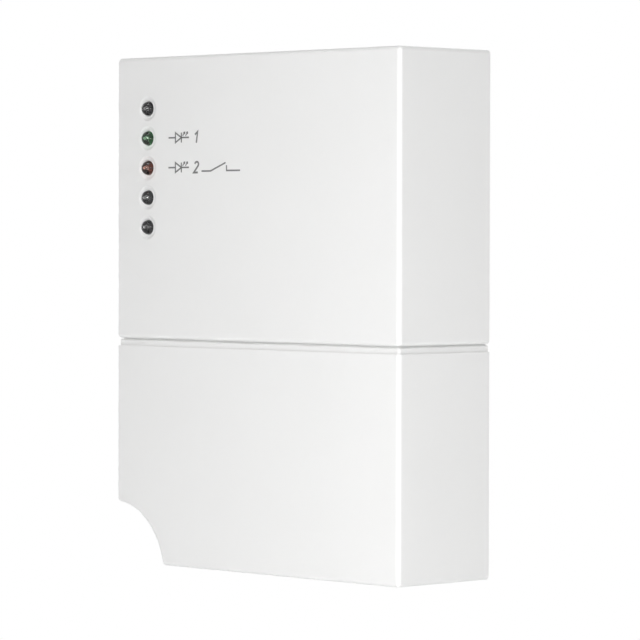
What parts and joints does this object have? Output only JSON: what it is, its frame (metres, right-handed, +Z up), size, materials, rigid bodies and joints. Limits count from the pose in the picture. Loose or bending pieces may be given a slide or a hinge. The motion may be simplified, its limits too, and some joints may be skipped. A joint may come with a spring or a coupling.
{
  "type": "wireless thermostat receiver",
  "caption": "Wall-mounted heating receiver with a two-part white shell, a column of indicator lights, a notched lower corner, screw terminals and a relay.",
  "frame": {"origin": "centre of the base's flat rear face, which rests on the wall", "axes": "+Z up, +X to the right for someone facing the receiver, the front looks along -Y"},
  "size_m": [0.0864, 0.0283, 0.11],
  "materials": {
    "shell": "satin moulded ABS, white",
    "base_plastic": "moulded ABS, white",
    "screw_steel": "zinc plated",
    "board": "solder mask over glass laminate",
    "nylon": "natural nylon",
    "led_dark": "smoked epoxy",
    "led_green": "green tinted epoxy",
    "led_red": "red tinted epoxy",
    "tinned_wire": "tinned",
    "terminal_grey": "moulded polyamide",
    "contact_brass": "stamped",
    "cage_steel": "zinc plated",
    "relay_blue": "moulded PBT",
    "black_plastic": "moulded",
    "copper": "enamelled copper wire",
    "soft_iron": "nickel plated",
    "potting": "potted epoxy",
    "can_sleeve": "shrunk PVC sleeve",
    "film_yellow": "moulded",
    "varistor_blue": "dipped epoxy",
    "fuse_glass": "clear",
    "nickel": "nickel plated",
    "tin_sheet": "tinned sheet",
    "antenna_red": "insulated wire"
  },
  "bodies": {
    "base": {"base": "base_plastic", "circuit_board": "board", "board_screws": "screw_steel", "led_1_dark": "led_dark", "led_2_green": "led_green", "led_3_red": "led_red", "led_4_dark": "led_dark", "led_5_dark": "led_dark", "led_holder": "nylon", "led_leads": "tinned_wire", "terminal_block": "terminal_grey", "terminal_contacts": "contact_brass", "relay_base": "black_plastic", "relay_case": "relay_blue", "relay_bobbin": "nylon", "relay_winding": "copper", "relay_yoke": "soft_iron", "relay_core": "soft_iron", "relay_contacts": "contact_brass", "transformer": "potting", "reservoir_capacitor": "can_sleeve", "smoothing_capacitor": "can_sleeve", "suppression_capacitor": "film_yellow", "varistor": "varistor_blue", "rectifier": "black_plastic", "regulator": "black_plastic", "component_leads": "tinned_wire", "fuse_tube": "fuse_glass", "fuse_caps": "nickel", "fuse_wire": "tinned_wire", "fuse_clips": "nickel", "pairing_switch": "black_plastic", "switch_plate": "tin_sheet", "microcontroller": "black_plastic", "microcontroller_pins": "tinned_wire", "crystal": "tin_sheet", "radio_board": "board", "radio_shield": "tin_sheet", "radio_header": "black_plastic", "radio_pins": "contact_brass", "antenna": "antenna_red"},
    "top_cover": {"top_cover": "shell"},
    "terminal_cover": {"terminal_cover": "shell"},
    "cover_screw": {"cover_screw": "screw_steel"},
    "relay_armature": {"relay_armature": "soft_iron", "relay_blade": "contact_brass"},
    "pairing_button": {"pairing_button": "black_plastic"},
    "terminal_screw_1": {"terminal_screw_1": "screw_steel"},
    "terminal_cage_1": {"terminal_cage_1": "cage_steel"},
    "terminal_screw_2": {"terminal_screw_2": "screw_steel"},
    "terminal_cage_2": {"terminal_cage_2": "cage_steel"},
    "terminal_screw_3": {"terminal_screw_3": "screw_steel"},
    "terminal_cage_3": {"terminal_cage_3": "cage_steel"},
    "terminal_screw_4": {"terminal_screw_4": "screw_steel"},
    "terminal_cage_4": {"terminal_cage_4": "cage_steel"},
    "terminal_screw_5": {"terminal_screw_5": "screw_steel"},
    "terminal_cage_5": {"terminal_cage_5": "cage_steel"}
  },
  "joints": [
    {"name": "top_cover_pull", "type": "slide", "parent": "base", "child": "top_cover", "axis": [0, -1, 0], "range_m": [0, 0.035]},
    {"name": "terminal_cover_slide", "type": "slide", "parent": "base", "child": "terminal_cover", "axis": [0, 0, -1], "range_m": [0, 0.05]},
    {"name": "cover_screw_turn", "type": "hinge", "parent": "terminal_cover", "child": "cover_screw", "pos_m": [-0.016, -0.01, -0.047], "axis": [0, 0, 1], "continuous": true},
    {"name": "relay_armature_rock", "type": "hinge", "parent": "base", "child": "relay_armature", "pos_m": [0.0142, -0.02045, 0.0081], "axis": [0, 0, 1], "range_deg": [0, 1.7], "stiffness_Nm_per_rad": 0.02},
    {"name": "pairing_button_press", "type": "slide", "parent": "base", "child": "pairing_button", "axis": [0, 1, 0], "range_m": [0, 0.00025], "stiffness_N_per_m": 500},
    {"name": "terminal_screw_1_turn", "type": "hinge", "parent": "base", "child": "terminal_screw_1", "pos_m": [-0.015, -0.017, -0.0221], "axis": [0, 1, 0], "range_deg": [0, 1800]},
    {"name": "terminal_cage_1_lift", "type": "slide", "parent": "base", "child": "terminal_cage_1", "axis": [0, -1, 0], "range_m": [0, 0.0025]},
    {"name": "terminal_screw_2_turn", "type": "hinge", "parent": "base", "child": "terminal_screw_2", "pos_m": [-0.0075, -0.017, -0.0221], "axis": [0, 1, 0], "range_deg": [0, 1800]},
    {"name": "terminal_cage_2_lift", "type": "slide", "parent": "base", "child": "terminal_cage_2", "axis": [0, -1, 0], "range_m": [0, 0.0025]},
    {"name": "terminal_screw_3_turn", "type": "hinge", "parent": "base", "child": "terminal_screw_3", "pos_m": [0, -0.017, -0.0221], "axis": [0, 1, 0], "range_deg": [0, 1800]},
    {"name": "terminal_cage_3_lift", "type": "slide", "parent": "base", "child": "terminal_cage_3", "axis": [0, -1, 0], "range_m": [0, 0.0025]},
    {"name": "terminal_screw_4_turn", "type": "hinge", "parent": "base", "child": "terminal_screw_4", "pos_m": [0.0075, -0.017, -0.0221], "axis": [0, 1, 0], "range_deg": [0, 1800]},
    {"name": "terminal_cage_4_lift", "type": "slide", "parent": "base", "child": "terminal_cage_4", "axis": [0, -1, 0], "range_m": [0, 0.0025]},
    {"name": "terminal_screw_5_turn", "type": "hinge", "parent": "base", "child": "terminal_screw_5", "pos_m": [0.015, -0.017, -0.0221], "axis": [0, 1, 0], "range_deg": [0, 1800]},
    {"name": "terminal_cage_5_lift", "type": "slide", "parent": "base", "child": "terminal_cage_5", "axis": [0, -1, 0], "range_m": [0, 0.0025]}
  ],
  "couplings": [
    {"joint": "terminal_screw_1_turn", "follows": "terminal_cage_1_lift", "rad_per_m": 12566},
    {"joint": "terminal_screw_2_turn", "follows": "terminal_cage_2_lift", "rad_per_m": 12566},
    {"joint": "terminal_screw_3_turn", "follows": "terminal_cage_3_lift", "rad_per_m": 12566},
    {"joint": "terminal_screw_4_turn", "follows": "terminal_cage_4_lift", "rad_per_m": 12566},
    {"joint": "terminal_screw_5_turn", "follows": "terminal_cage_5_lift", "rad_per_m": 12566}
  ]
}
